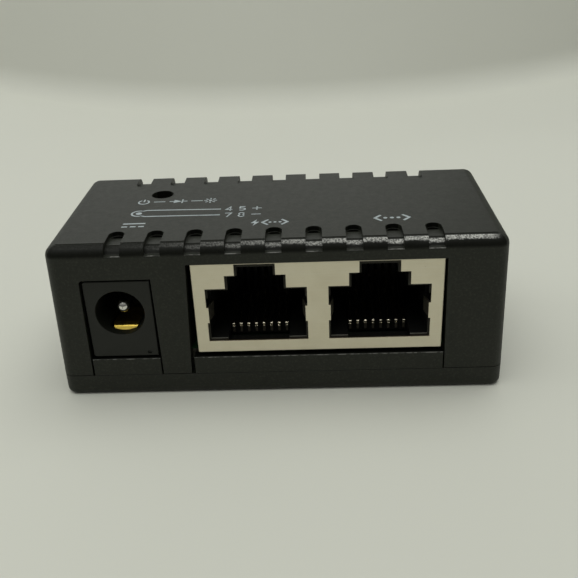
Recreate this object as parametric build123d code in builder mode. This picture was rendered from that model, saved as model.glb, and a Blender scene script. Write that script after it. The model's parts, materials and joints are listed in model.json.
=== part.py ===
"""Passive PoE injector: a snap-together case round a small board with a twin network
socket, a DC power jack and an indicator lamp.

Millimetres. +Z is up, the sockets face -Y, and the origin is at the middle of the
underside. Every separate piece is one node, written as parts/NAME.step."""

from build123d import *
from math import cos, radians
import os

os.makedirs("parts", exist_ok=True)

# ---- case
TOP_W = 57.5  # across the ends at the top face
SEAM_W = 58.4  # across the ends at the joint line; the ends lean in by the moulding draft
CASE_D = 26.4
CASE_H = 21.7
SEAM_Z = 3.0
SEAM_GAP = 0.1
SEAM_GROOVE = 0.06  # the mark left across the tabs at the joint line
WALL = 1.4
TOP_WALL = 1.5
CORNER_R = 1.5
INNER_CORNER_R = 0.6
TOP_EDGE_R = 1.4
TOP_STEP = 0.07  # the flat top stands this far above the start of its rounded edge
FOOT_EDGE_R = 0.8
FLOOR = 1.5
LIP_H = 1.2
LIP_T = 0.8
LIP_GAP = 0.1

# ---- vents along the two long top edges
VENT_COUNT = 9
VENT_PITCH = 5.0
VENT_SHIFT = -0.15  # the middle vent's X
VENT_W = 2.04
VENT_REACH = 4.9  # from the wall's face to the rounded inner end
VENT_FLOOR_REACH = 4.05  # where the sunk floor stops and the open slit starts
VENT_LEDGE = 0.12  # the slit is this much smaller than the sunk strip round its inner end
VENT_DEPTH = 0.6
VENT_SILL_Z = 20.34

# ---- circuit board, on four pegs that also hold the two halves of the case together
BOARD_W = 54.4
BOARD_D = 23.0
BOARD_T = 1.6
BOARD_TOP = 5.9
PEGS = [(24.6, -9.2), (24.6, 9.2), (-24.6, 9.2), (-13.2, -9.4)]
PEG_R = 0.9
PEG_TOP = 9.0
POST_R = 1.7
TAIL_Z = 3.5  # lower end of every soldered tail

# ---- twin network socket
RJ_X = 5.16
RJ_W = 31.7
RJ_RECESS = 0.3  # front plate behind the case's face
RJ_D = 18.0
RJ_BOTTOM = 6.2
RJ_TOP = 18.93
SHEET = 0.25
FOLD_R = 0.15
PORT_PITCH = 15.6
PORT_SILL_Z = 7.8
PORT_TOP_Z = 15.4
PORT_HALF = 6.45
STEP_Z = 17.2
STEP_HALF = 3.85
LATCH_Z = 18.76
LATCH_HALF = 2.57
CAVITY_HALF = 6.2
CAVITY_TOP_Z = 15.1
STEP_INSET = 0.3  # how far the moulding shows inside the plate's latch steps
CONTACT_COUNT = 8
CONTACT_PITCH = 1.02
CONTACT_W = 0.36
CONTACT_T = 0.28
CONTACT_RISE = 20.0  # degrees above level, at rest
CONTACT_LENGTH = 10.4
CONTACT_ROOT_Z = 8.15

# ---- leaf springs on the sides of each port
LEAF_Z = (10.5, 12.72)
LEAF_T = 0.2
LEAF_LENGTH = 2.2
LEAF_LEAN = 0.4
LEAF_HEADROOM = 1.2  # how far the leaf's pocket is open above it

# ---- DC power jack for a 5.5 x 2.1 plug
JACK_X = -20.27
JACK_W = 8.64
JACK_BOTTOM = 5.95
JACK_LIP_Z = 5.8  # the flange reaches lower in front of the board
JACK_CORNER_R = 0.4
JACK_TOP = 16.87
JACK_D = 14.2
JACK_FLANGE = 3.5
BORE_R = 3.18
BORE_Z = 12.26
BORE_D = 9.5
PIN_R = 1.0
PIN_RECESS = 1.4

# ---- indicator lamp
LAMP_X = -16.57
LAMP_Y = 4.8
LAMP_HOLE_R = 1.55
LAMP_R = 1.5
LAMP_FLANGE_R = 1.9
LAMP_BASE_Z = 14.0
LAMP_H = 5.3

# ---- openings in the case's front: left and right X at the foot, at the top, and the top's Z
SOCKET_OPENING = (-11.87, 21.5, -11.15, 21.23, RJ_TOP + 0.06)
JACK_OPENING = (-25.08, -15.55, -24.82, -15.72, JACK_TOP + 0.3)
TAB_TOP = 5.56
TAB_EDGE_R = 0.15
SOCKET_TAB = (-11.28, 21.28)
JACK_TAB = (-24.8, -15.8)

# ---- worked out from the above
FRONT = -CASE_D / 2
CEILING = CASE_H - TOP_WALL
BOARD_BOTTOM = BOARD_TOP - BOARD_T
RJ_FRONT = FRONT + RJ_RECESS
RJ_BACK = RJ_FRONT + RJ_D
PORTS = {"poe": RJ_X - PORT_PITCH / 2, "lan": RJ_X + PORT_PITCH / 2}
JACK_FRONT = FRONT + RJ_RECESS
JACK_BACK = JACK_FRONT + JACK_D
BORE_END = JACK_FRONT + BORE_D
CONTACT_ROOT_Y = RJ_FRONT + 3.8
PIN_ROWS = (-1.8, 0.74)  # the odd and the even tails, 2.54 apart
LEG_Y = (-8.0, 1.0)  # shield legs
LEG_X = (RJ_X - RJ_W / 2 + SHEET / 2, RJ_X + RJ_W / 2 - SHEET / 2)
SOCKET_PEGS = [(RJ_X - 13.5, -5.6), (RJ_X + 13.5, -5.6)]
SOCKET_PEG_R = 1.2


def save(part, name):
    """Names a finished piece and writes it as its own node."""
    part.label = name
    export_step(part, f"parts/{name}.step")


def end_x(z):
    """Half the case's width at height z."""
    share = (z - SEAM_Z) / (CASE_H - SEAM_Z)
    return (SEAM_W + (TOP_W - SEAM_W) * share) / 2


def box(x, y, z, mode=Mode.ADD):
    """A box between two limits on each axis, inside the open BuildPart."""
    with BuildSketch(Plane.XY.offset(z[0])) as base:
        with Locations(((x[0] + x[1]) / 2, (y[0] + y[1]) / 2)):
            Rectangle(x[1] - x[0], y[1] - y[0])
    extrude(base.sketch, amount=z[1] - z[0], mode=mode)


def disc(x, y, z, radius, mode=Mode.ADD):
    """An upright cylinder between two heights, inside the open BuildPart."""
    with BuildSketch(Plane.XY.offset(z[0])) as base:
        with Locations((x, y)):
            Circle(radius)
    extrude(base.sketch, amount=z[1] - z[0], mode=mode)


def front_profile(points, y, depth, mode=Mode.ADD):
    """A polygon drawn in X and Z, from the plane at y back by depth."""
    with BuildSketch(Plane.XZ.offset(-y)) as profile:
        Polygon(*points, align=None)
    extrude(profile.sketch, amount=-depth, mode=mode)


def is_upright(edge):
    return abs(edge.tangent_at(0.5).Z) > 0.9


def drafted_block(inset, bottom_z, top_z, corner_r, edge_r):
    """The case's outline, inset all round, with its draft, corners and top edge."""
    low, high = end_x(bottom_z) - inset, end_x(top_z) - inset
    with BuildPart() as block:
        front_profile(
            [(-low, bottom_z), (low, bottom_z), (high, top_z), (-high, top_z)],
            FRONT + inset,
            CASE_D - 2 * inset,
        )
        fillet(block.edges().filter_by(is_upright), radius=corner_r)
        fillet(block.faces().sort_by(Axis.Z)[-1].edges(), radius=edge_r)
    return block.part


def top_edge_section(inset, back):
    """The case's section in Y and Z near the front edge, sunk by inset: wall, round, step, flat."""
    wall, shoulder = FRONT + inset, CASE_H - TOP_STEP - inset
    turn = TOP_EDGE_R * (1 - cos(radians(45)))
    with BuildSketch(Plane.YZ) as section:
        with BuildLine():
            Polyline((wall, 0), (wall, shoulder - TOP_EDGE_R))
            ThreePointArc(
                (wall, shoulder - TOP_EDGE_R),
                (wall + turn, shoulder - turn),
                (wall + TOP_EDGE_R, shoulder),
            )
            Polyline(
                (wall + TOP_EDGE_R, shoulder),
                (wall + TOP_EDGE_R, shoulder + TOP_STEP),
                (back, shoulder + TOP_STEP),
                (back, 0),
                (wall, 0),
            )
        make_face()
    return section.sketch


def vent_cutter():
    """One front vent: a sunk strip over the rounded edge, and a slit at its inner end."""
    floor_end = FRONT + VENT_FLOOR_REACH
    arc_y = FRONT + VENT_REACH - VENT_W / 2
    with BuildPart() as cutter:
        with BuildSketch(Plane.XY.offset(VENT_SILL_Z)):
            with Locations((0, (FRONT - 1 + arc_y) / 2)):
                Rectangle(VENT_W, arc_y - FRONT + 1)
            with Locations((0, arc_y)):
                Circle(VENT_W / 2)
        extrude(amount=CASE_H + 1 - VENT_SILL_Z)
        floor = top_edge_section(VENT_DEPTH, FRONT + VENT_REACH + 1)
        extrude(floor, amount=VENT_W, both=True, mode=Mode.SUBTRACT)
        with BuildSketch(Plane.XY.offset(CEILING - 0.5)):
            with Locations((0, arc_y)):
                Circle(VENT_W / 2 - VENT_LEDGE)
            with Locations((0, floor_end - VENT_W)):
                Rectangle(2 * VENT_W, 2 * VENT_W, mode=Mode.SUBTRACT)
        extrude(amount=CASE_H - CEILING)
    return cutter.part


def opening(limits):
    """The corners of an opening that narrows upward, in X and Z."""
    foot_left, foot_right, left, right, top_z = limits
    return [(foot_left, SEAM_Z - 1), (foot_right, SEAM_Z - 1), (right, top_z), (left, top_z)]


def vent_places():
    """Nine along the front edge, and nine turned round for the back edge."""
    first = VENT_SHIFT - VENT_PITCH * (VENT_COUNT - 1) / 2
    places = []
    for i in range(VENT_COUNT):
        x = first + i * VENT_PITCH
        places += [Location((x, 0, 0)), Location((x, 0, 0), (0, 0, 180))]
    return places


# ---------------------------------------------------------------- case

vent = vent_cutter()
outside = drafted_block(0, SEAM_Z + SEAM_GAP, CASE_H - TOP_STEP, CORNER_R, TOP_EDGE_R)
inside = drafted_block(WALL, SEAM_Z - 1, CEILING, INNER_CORNER_R, 0.4)

with BuildPart() as top_cover:
    add(outside)
    extrude(top_cover.faces().sort_by(Axis.Z)[-1], amount=TOP_STEP)
    add(inside, mode=Mode.SUBTRACT)
    # tubes that grip the base's pegs and hold the board down
    for x, y in PEGS:
        disc(x, y, (BOARD_TOP + 0.05, CEILING + 0.5), POST_R)
        disc(x, y, (BOARD_TOP, PEG_TOP + 0.4), PEG_R + 0.03, Mode.SUBTRACT)
    # ribs that stiffen the roof between the vents' rows
    for x in (-22.5, -6.0, 4.0, 14.0):
        box((x - 0.5, x + 0.5), (-6.0, 6.0), (CEILING - 0.9, CEILING + 0.3))
    # the openings for the network socket and the power jack, open to the joint line
    front_profile(opening(SOCKET_OPENING), FRONT - 1, WALL + 1.2, Mode.SUBTRACT)
    with BuildSketch(Plane.XZ.offset(-FRONT + 1)) as jack_opening:
        Polygon(*opening(JACK_OPENING), align=None)
        fillet(jack_opening.vertices().sort_by(Axis.Z)[-2:], radius=0.5)
    extrude(amount=-(WALL + 1.2), mode=Mode.SUBTRACT)
    disc(LAMP_X, LAMP_Y, (CEILING - 1, CASE_H + 1), LAMP_HOLE_R, Mode.SUBTRACT)
    with Locations(*vent_places()):
        add(vent, mode=Mode.SUBTRACT)
save(top_cover.part, "top_cover")

with BuildPart() as bottom_cover:
    with BuildSketch():
        RectangleRounded(SEAM_W, CASE_D, CORNER_R)
    extrude(amount=SEAM_Z)
    fillet(bottom_cover.faces().sort_by(Axis.Z)[0].edges(), radius=FOOT_EDGE_R)
    with BuildSketch(Plane.XY.offset(FLOOR)):
        RectangleRounded(SEAM_W - 2 * WALL, CASE_D - 2 * WALL, INNER_CORNER_R)
    extrude(amount=SEAM_Z, mode=Mode.SUBTRACT)
    # the lip that locates the top cover
    lip_w, lip_d = SEAM_W - 2 * (WALL + LIP_GAP), CASE_D - 2 * (WALL + LIP_GAP)
    with BuildSketch(Plane.XY.offset(FLOOR)):
        RectangleRounded(lip_w, lip_d, 0.5)
        RectangleRounded(lip_w - 2 * LIP_T, lip_d - 2 * LIP_T, 0.3, mode=Mode.SUBTRACT)
    extrude(amount=SEAM_Z + LIP_H - FLOOR)
    with BuildSketch(Plane.XY.offset(FLOOR)):
        RectangleRounded(SEAM_W - 1, CASE_D - 1, CORNER_R - 0.5)
        RectangleRounded(lip_w - LIP_T, lip_d - LIP_T, 0.3, mode=Mode.SUBTRACT)
    extrude(amount=SEAM_Z - FLOOR)
    # the tabs that close the two openings below the sockets
    tab_back = FRONT + WALL + LIP_GAP
    for tab in (SOCKET_TAB, JACK_TAB):
        box(tab, (FRONT, tab_back), (SEAM_Z - 0.5, TAB_TOP))
    tab_tops = bottom_cover.edges().filter_by(Axis.X).filter_by(
        lambda e: abs(e.center().Y - FRONT) < 0.01 and abs(e.center().Z - TAB_TOP) < 0.01
    )
    fillet(tab_tops, radius=TAB_EDGE_R)
    for tab in (SOCKET_TAB, JACK_TAB):
        box(tab, (FRONT - 1, FRONT + SEAM_GROOVE), (SEAM_Z, SEAM_Z + SEAM_GROOVE), Mode.SUBTRACT)
    # stools with pegs for the board
    for x, y in PEGS:
        disc(x, y, (FLOOR - 0.3, BOARD_BOTTOM - 0.05), POST_R)
        disc(x, y, (FLOOR, PEG_TOP), PEG_R)
    for x in (-19.0, 0.0, 19.0):
        box((x - 0.5, x + 0.5), (-9.0, 9.0), (FLOOR - 0.3, FLOOR + 0.8))
save(bottom_cover.part, "bottom_cover")

# ---------------------------------------------------------------- circuit board


def contact_xs(port):
    """The X of each of a port's contacts."""
    first = PORTS[port] - CONTACT_PITCH * (CONTACT_COUNT - 1) / 2
    return [first + i * CONTACT_PITCH for i in range(CONTACT_COUNT)]


def tail_y(index):
    return PIN_ROWS[index % 2]


JACK_TAILS = {  # flat tails as (x, y, width in X, width in Y)
    "pin": (JACK_X, JACK_BACK + 0.17, 2.4, 0.3),
    "sleeve": (JACK_X, BORE_END - 0.9, 2.4, 0.3),
    "switch": (JACK_X + 3.35, BORE_END - 4.8, 0.3, 1.6),
}
LAMP_LEADS = (LAMP_X - 1.27, LAMP_X + 1.27)
LEAD_W = 0.5

with BuildPart() as circuit_board:
    with BuildSketch(Plane.XY.offset(BOARD_BOTTOM)):
        RectangleRounded(BOARD_W, BOARD_D, 0.6)
        with Locations(*PEGS):
            Circle(PEG_R + 0.1, mode=Mode.SUBTRACT)
        for name in PORTS:
            holes = [(x, tail_y(i)) for i, x in enumerate(contact_xs(name))]
            with Locations(*holes):
                Circle(0.4, mode=Mode.SUBTRACT)
        with Locations(*SOCKET_PEGS):
            Circle(SOCKET_PEG_R + 0.1, mode=Mode.SUBTRACT)
        with Locations(*[(x, y) for x in LEG_X for y in LEG_Y]):
            SlotOverall(1.6, 0.6, rotation=90, mode=Mode.SUBTRACT)
        for x, y, w, d in JACK_TAILS.values():
            with Locations((x, y)):
                SlotOverall(max(w, d) + 0.4, 0.7, rotation=90 if d > w else 0, mode=Mode.SUBTRACT)
        with Locations(*[(x, LAMP_Y) for x in LAMP_LEADS]):
            Circle(0.42, mode=Mode.SUBTRACT)
    extrude(amount=BOARD_T)
save(circuit_board.part, "circuit_board")

# ---------------------------------------------------------------- twin network socket


def port_outline(x):
    """The stepped opening of one port, in X and Z: the plug, then its latch."""
    half = [
        (PORT_HALF, PORT_SILL_Z),
        (PORT_HALF, PORT_TOP_Z),
        (STEP_HALF, PORT_TOP_Z),
        (STEP_HALF, STEP_Z),
        (LATCH_HALF, STEP_Z),
        (LATCH_HALF, LATCH_Z),
    ]
    return [(x + u, z) for u, z in half] + [(x - u, z) for u, z in reversed(half)]


with BuildPart() as rj45_shield:
    left, right = RJ_X - RJ_W / 2, RJ_X + RJ_W / 2
    box((left, right), (RJ_FRONT, RJ_BACK), (RJ_BOTTOM, RJ_TOP))
    top_folds = rj45_shield.faces().sort_by(Axis.Z)[-1].edges()
    fillet(rj45_shield.edges().filter_by(is_upright) + top_folds, radius=FOLD_R)
    box(
        (left + SHEET, right - SHEET),
        (RJ_FRONT + SHEET, RJ_BACK - SHEET),
        (RJ_BOTTOM - 1, RJ_TOP - SHEET),
        Mode.SUBTRACT,
    )
    for port_x in PORTS.values():
        front_profile(port_outline(port_x), RJ_FRONT - 1, 2, Mode.SUBTRACT)
        # narrower where the side springs fold in
        for side in (-1, 1):
            ears = sorted((port_x + side * 6.2, port_x + side * (PORT_HALF + 0.1)))
            box(ears, (RJ_FRONT, RJ_FRONT + SHEET), LEAF_Z)
    for x in LEG_X:
        for y in LEG_Y:
            box((x - SHEET / 2, x + SHEET / 2), (y - 0.55, y + 0.55), (TAIL_Z, RJ_BOTTOM + 0.5))
save(rj45_shield.part, "rj45_shield")

SOCKET_GAP = 0.05
HOUSING_FRONT = RJ_FRONT + SHEET + SOCKET_GAP
POCKET_FRONT = CONTACT_ROOT_Y - 0.35
POCKET_HALF = 4.0
POCKET_TOP = 14.4
POCKET_SILL_Z = 6.6  # the floor dips in front of the contacts

with BuildPart() as rj45_housing:
    margin = SHEET + SOCKET_GAP
    box(
        (left + margin, right - margin),
        (HOUSING_FRONT, RJ_BACK - margin),
        (BOARD_TOP + 0.02, RJ_TOP - margin),
    )
    cavity_end = RJ_FRONT + 13.2
    for port_x in PORTS.values():
        # the plug's space, the latch's steps, and the open pocket for the contact carrier
        box(
            (port_x - CAVITY_HALF, port_x + CAVITY_HALF),
            (HOUSING_FRONT - 1, cavity_end),
            (PORT_SILL_Z + 0.25, CAVITY_TOP_Z),
            Mode.SUBTRACT,
        )
        box(
            (port_x - STEP_HALF + STEP_INSET, port_x + STEP_HALF - STEP_INSET),
            (HOUSING_FRONT - 1, HOUSING_FRONT + 11),
            (CAVITY_TOP_Z - 0.5, STEP_Z - 0.15),
            Mode.SUBTRACT,
        )
        box(
            (port_x - LATCH_HALF + STEP_INSET, port_x + LATCH_HALF - STEP_INSET),
            (HOUSING_FRONT - 1, HOUSING_FRONT + 8),
            (STEP_Z - 0.5, RJ_TOP - 0.65),
            Mode.SUBTRACT,
        )
        box(
            (port_x - POCKET_HALF, port_x + POCKET_HALF),
            (HOUSING_FRONT - 1, cavity_end),
            (POCKET_SILL_Z, CAVITY_TOP_Z),
            Mode.SUBTRACT,
        )
        box(
            (port_x - POCKET_HALF, port_x + POCKET_HALF),
            (POCKET_FRONT, RJ_BACK),
            (BOARD_TOP, POCKET_TOP),
            Mode.SUBTRACT,
        )
        # room for the side springs to move outward
        for side in (-1, 1):
            inner, outer = CAVITY_HALF - 0.5, PORT_HALF + 0.4
            box(
                sorted((port_x + side * inner, port_x + side * outer)),
                (HOUSING_FRONT - 1, HOUSING_FRONT + LEAF_LENGTH + 0.8),
                (LEAF_Z[0] - 0.25, LEAF_Z[1] + LEAF_HEADROOM),
                Mode.SUBTRACT,
            )
    for x, y in SOCKET_PEGS:
        disc(x, y, (TAIL_Z, BOARD_TOP + 0.5), SOCKET_PEG_R)
save(rj45_housing.part, "rj45_housing")


def contact_carrier(port):
    """The insert that holds a port's contacts: a floor with grooves and a comb behind."""
    port_x = PORTS[port]
    carrier_gap = 0.1
    half = POCKET_HALF - carrier_gap
    floor_top = 7.75
    comb_front = cavity_end - 0.05
    with BuildPart() as carrier:
        across = (port_x - half, port_x + half)
        comb_back = RJ_BACK - SHEET - SOCKET_GAP - carrier_gap
        box(across, (CONTACT_ROOT_Y + 0.35, comb_front + 0.1), (6.5, floor_top))
        box(across, (comb_front, comb_back), (BOARD_TOP + 0.07, POCKET_TOP - carrier_gap))
        for i, x in enumerate(contact_xs(port)):
            slot_half = CONTACT_W / 2 + 0.05
            box(
                (x - slot_half, x + slot_half),
                (CONTACT_ROOT_Y, tail_y(i) + 0.2),
                (6.97, floor_top + 0.2),
                Mode.SUBTRACT,
            )
            box(
                (x - slot_half, x + slot_half),
                (tail_y(i) - 0.2, tail_y(i) + 0.2),
                (BOARD_TOP, 7.1),
                Mode.SUBTRACT,
            )
            box(
                (x - slot_half - 0.04, x + slot_half + 0.04),
                (comb_front - 0.1, comb_front + 2.2),
                (floor_top, 12.9),
                Mode.SUBTRACT,
            )
    return carrier.part


def contact_springs(port):
    """The eight contact wires of a port that a plug presses down, hinged at their fold."""
    with BuildPart() as wires:
        for x in contact_xs(port):
            with BuildSketch(Plane.YZ.offset(x - CONTACT_W / 2)):
                with Locations((CONTACT_ROOT_Y, CONTACT_ROOT_Z)):
                    Circle(0.2)
                    with Locations(Location((0, 0, 0), (0, 0, CONTACT_RISE))):
                        Rectangle(CONTACT_LENGTH, CONTACT_T, align=(Align.MIN, Align.CENTER))
            extrude(amount=CONTACT_W)
    return wires.part


def contact_tails(port):
    """The fixed half of each contact: up to the fold, back along its groove, down to the board."""
    front, low, high = CONTACT_ROOT_Y - 0.15, 7.0, 7.3
    with BuildPart() as tails:
        for i, x in enumerate(contact_xs(port)):
            sides = (x - CONTACT_W / 2, x + CONTACT_W / 2)
            y = tail_y(i)
            box(sides, (front, front + 0.3), (low, CONTACT_ROOT_Z - 0.25))
            box(sides, (front, y + 0.15), (low, high))
            box(sides, (y - 0.15, y + 0.15), (TAIL_Z, high))
    return tails.part


def side_spring(port, side):
    """A leaf folded in beside the plug; side is -1 for the left one and 1 for the right."""
    root_x = PORTS[port] + side * 6.3
    tip_x = root_x - side * LEAF_LEAN
    root_y = HOUSING_FRONT + LEAF_T / 2 - 0.02
    bend_y, tip_y = root_y + LEAF_LENGTH * 0.8, root_y + LEAF_LENGTH
    t = side * LEAF_T / 2
    with BuildPart() as leaf:
        with BuildSketch(Plane.XY.offset(LEAF_Z[0] + 0.05)):
            Polygon(
                (root_x - t, root_y),
                (tip_x - t, bend_y),
                (tip_x - t + side * 0.2, tip_y),
                (tip_x + t + side * 0.2, tip_y),
                (tip_x + t, bend_y),
                (root_x + t, root_y),
                align=None,
            )
            with Locations((root_x, root_y)):
                Circle(LEAF_T / 2)
        extrude(amount=LEAF_Z[1] - LEAF_Z[0] - 0.1)
    return leaf.part


for port_name in PORTS:
    save(contact_carrier(port_name), f"{port_name}_contact_carrier")
    save(contact_springs(port_name), f"{port_name}_contact_springs")
    save(contact_tails(port_name), f"{port_name}_contact_tails")
    save(side_spring(port_name, -1), f"{port_name}_side_spring_left")
    save(side_spring(port_name, 1), f"{port_name}_side_spring_right")

# ---------------------------------------------------------------- DC power jack

SLEEVE_PIVOT = (BORE_END - 0.9, BORE_Z - 3.7)  # Y and Z
SLEEVE_CREST = (JACK_FRONT + 2.75, BORE_Z - 2.68)
SLEEVE_NOSE = (JACK_FRONT + 1.96, BORE_Z - 2.8)
SLEEVE_TIP = (JACK_FRONT + 1.45, BORE_Z - 3.5)
TROUGH_FRONT = JACK_FRONT + 1.35
SLEEVE_HALF = 1.7
SLEEVE_T = 0.22
EAR_Y = JACK_TAILS["switch"][1]
EAR_TOP = BORE_Z - 3.0
SWITCH_T = 0.3
SWITCH_TOP = EAR_TOP + 0.2 + SWITCH_T
SHANK_R = 0.7

with BuildPart() as dc_jack_body:
    jack_x = (JACK_X - JACK_W / 2, JACK_X + JACK_W / 2)
    barrel_half = JACK_W / 2 - 0.3
    box(jack_x, (JACK_FRONT + 0.5, JACK_FRONT + JACK_FLANGE), (JACK_BOTTOM, JACK_TOP))
    with BuildSketch(Plane.XZ.offset(-JACK_FRONT)) as face:
        with Locations((JACK_X, (JACK_LIP_Z + JACK_TOP) / 2)):
            Rectangle(JACK_W, JACK_TOP - JACK_LIP_Z)
        fillet(face.vertices().sort_by(Axis.Z)[:2], radius=JACK_CORNER_R)
    extrude(amount=-(-BOARD_D / 2 - 0.1 - JACK_FRONT))
    fillet(dc_jack_body.faces().sort_by(Axis.Y)[0].edges(), radius=0.15)
    with BuildSketch(Plane.XZ.offset(-JACK_FRONT - JACK_FLANGE + 0.5)):
        with Locations((JACK_X, BORE_Z)):
            Circle(barrel_half)
        with Locations((JACK_X, (JACK_BOTTOM + BORE_Z) / 2)):
            Rectangle(2 * barrel_half, BORE_Z - JACK_BOTTOM)
    extrude(amount=-(JACK_D - JACK_FLANGE + 0.5))
    with BuildSketch(Plane.XZ.offset(-JACK_FRONT + 1)):
        with Locations((JACK_X, BORE_Z)):
            Circle(BORE_R)
    extrude(amount=-(BORE_D + 1), mode=Mode.SUBTRACT)
    with BuildSketch(Plane.XZ.offset(-JACK_FRONT)):
        with Locations((JACK_X, BORE_Z)):
            Circle(SHANK_R + 0.02)
    extrude(amount=-(JACK_D + 1), mode=Mode.SUBTRACT)
    # the trough under the bore where the sleeve spring lies, and its tail's slot
    box(
        (JACK_X - SLEEVE_HALF - 0.25, JACK_X + SLEEVE_HALF + 0.25),
        (TROUGH_FRONT, BORE_END - 0.3),
        (BORE_Z - 4.6, BORE_Z - 2),
        Mode.SUBTRACT,
    )
    tail_x, tail_at, tail_w, tail_t = JACK_TAILS["sleeve"]
    box(
        (tail_x - tail_w / 2 - 0.05, tail_x + tail_w / 2 + 0.05),
        (tail_at - tail_t / 2 - 0.05, tail_at + tail_t / 2 + 0.05),
        (JACK_BOTTOM - 1, 8),
        Mode.SUBTRACT,
    )
    # the side chamber of the switch contact
    box(
        (JACK_X + SLEEVE_HALF, JACK_X + 3.55),
        (EAR_Y - 0.95, EAR_Y + 0.95),
        (JACK_BOTTOM - 1, SWITCH_TOP + 0.5),
        Mode.SUBTRACT,
    )
    # a moulding pip mark low on the face, and a broken edge round the mouth
    with BuildSketch(Plane.XZ.offset(-JACK_FRONT)):
        with Locations((JACK_X + 3.2, JACK_BOTTOM + 0.45)):
            Circle(0.28)
    extrude(amount=-0.2, mode=Mode.SUBTRACT)
    mouth = dc_jack_body.edges().filter_by(GeomType.CIRCLE).filter_by(
        lambda e: abs(e.radius - BORE_R) < 0.01 and abs(e.center().Y - JACK_FRONT) < 0.01
    )
    chamfer(mouth, length=0.05)
save(dc_jack_body.part, "dc_jack_body")

with BuildPart() as dc_centre_pin:
    tip_y = JACK_FRONT + PIN_RECESS
    with BuildSketch(Plane.YZ):
        with BuildLine():
            # half the pin's section, on the positive side of its axis
            Line((tip_y, 0), (JACK_BACK + 0.75, 0))
            Line((JACK_BACK + 0.75, 0), (JACK_BACK + 0.75, 1.0))
            Line((JACK_BACK + 0.75, 1.0), (JACK_BACK + 0.35, 1.2))
            Line((JACK_BACK + 0.35, 1.2), (JACK_BACK + 0.35, SHANK_R))
            Line((JACK_BACK + 0.35, SHANK_R), (BORE_END - 0.02, SHANK_R))
            Line((BORE_END - 0.02, SHANK_R), (BORE_END - 0.02, PIN_R))
            Line((BORE_END - 0.02, PIN_R), (tip_y + PIN_R, PIN_R))
            dome_y, dome_r = tip_y + PIN_R * (1 - cos(radians(45))), PIN_R * cos(radians(45))
            ThreePointArc((tip_y + PIN_R, PIN_R), (dome_y, dome_r), (tip_y, 0))
        make_face()
    revolve(axis=Axis.Y)
save(dc_centre_pin.part.moved(Location((JACK_X, 0, BORE_Z))), "dc_centre_pin")

with BuildPart() as dc_pin_terminal:
    tail_x, tail_at, tail_w, tail_t = JACK_TAILS["pin"]
    plate = (tail_at - 0.15, tail_at + 0.15)
    box((tail_x - 1.4, tail_x + 1.4), plate, (JACK_BOTTOM + 0.2, BORE_Z + 1.6))
    box((tail_x - tail_w / 2, tail_x + tail_w / 2), plate, (TAIL_Z, JACK_BOTTOM + 0.5))
    with BuildSketch(Plane.XZ.offset(-JACK_BACK + 1)):
        with Locations((JACK_X, BORE_Z)):
            Circle(SHANK_R + 0.02)
    extrude(amount=-3, mode=Mode.SUBTRACT)
save(dc_pin_terminal.part, "dc_pin_terminal")

with BuildPart() as dc_sleeve_spring:
    (py, pz), (cy, cz), (ny, nz), (ty, tz) = SLEEVE_PIVOT, SLEEVE_CREST, SLEEVE_NOSE, SLEEVE_TIP
    with BuildSketch(Plane.YZ.offset(JACK_X)) as strip:
        Polygon(
            (py, pz),
            (cy, cz),
            (ny, nz),
            (ty, tz),
            (ty + SLEEVE_T, tz - 0.05),
            (ny + 0.12, nz - 1.1 * SLEEVE_T),
            (cy, cz - SLEEVE_T),
            (py, pz - SLEEVE_T),
            align=None,
        )
        crest_and_nose = strip.vertices().sort_by(Axis.Y)[-2:]
        fillet(crest_and_nose, radius=0.4)
        with Locations((py, pz - SLEEVE_T / 2)):
            Circle(SLEEVE_T / 2)
    extrude(amount=SLEEVE_HALF, both=True)
    # the free end is rounded in plan
    with BuildSketch(Plane.XY.offset(tz - 1)) as plan:
        with Locations((JACK_X, (ty + py + SLEEVE_T) / 2)):
            Rectangle(2 * SLEEVE_HALF, py - ty + SLEEVE_T)
        fillet(plan.vertices().group_by(Axis.Y)[0], radius=0.9)
    extrude(amount=3, mode=Mode.INTERSECT)
    # the ear that rests against the switch contact while no plug is in
    ear_x = (JACK_X + SLEEVE_HALF - 0.3, JACK_X + 2.75)
    box(ear_x, (EAR_Y - 0.45, EAR_Y + 0.45), (EAR_TOP - 0.18, EAR_TOP))
save(dc_sleeve_spring.part, "dc_sleeve_spring")

with BuildPart() as dc_sleeve_terminal:
    tail_x, tail_at, tail_w, tail_t = JACK_TAILS["sleeve"]
    strip = (tail_at - tail_t / 2, tail_at + tail_t / 2)
    box((tail_x - tail_w / 2, tail_x + tail_w / 2), strip, (TAIL_Z, SLEEVE_PIVOT[1] - SLEEVE_T - 0.06))
save(dc_sleeve_terminal.part, "dc_sleeve_terminal")

with BuildPart() as dc_switch_contact:
    tail_x, tail_at, tail_w, tail_t = JACK_TAILS["switch"]
    run = (tail_at - tail_t / 2, tail_at + tail_t / 2)
    box((tail_x - tail_w / 2, tail_x + tail_w / 2), run, (TAIL_Z, SWITCH_TOP))
    arm = (tail_at - 0.4, tail_at + 0.4)
    box((JACK_X + 2.0, tail_x + tail_w / 2), arm, (SWITCH_TOP - SWITCH_T, SWITCH_TOP))
save(dc_switch_contact.part, "dc_switch_contact")

# ---------------------------------------------------------------- indicator lamp

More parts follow.
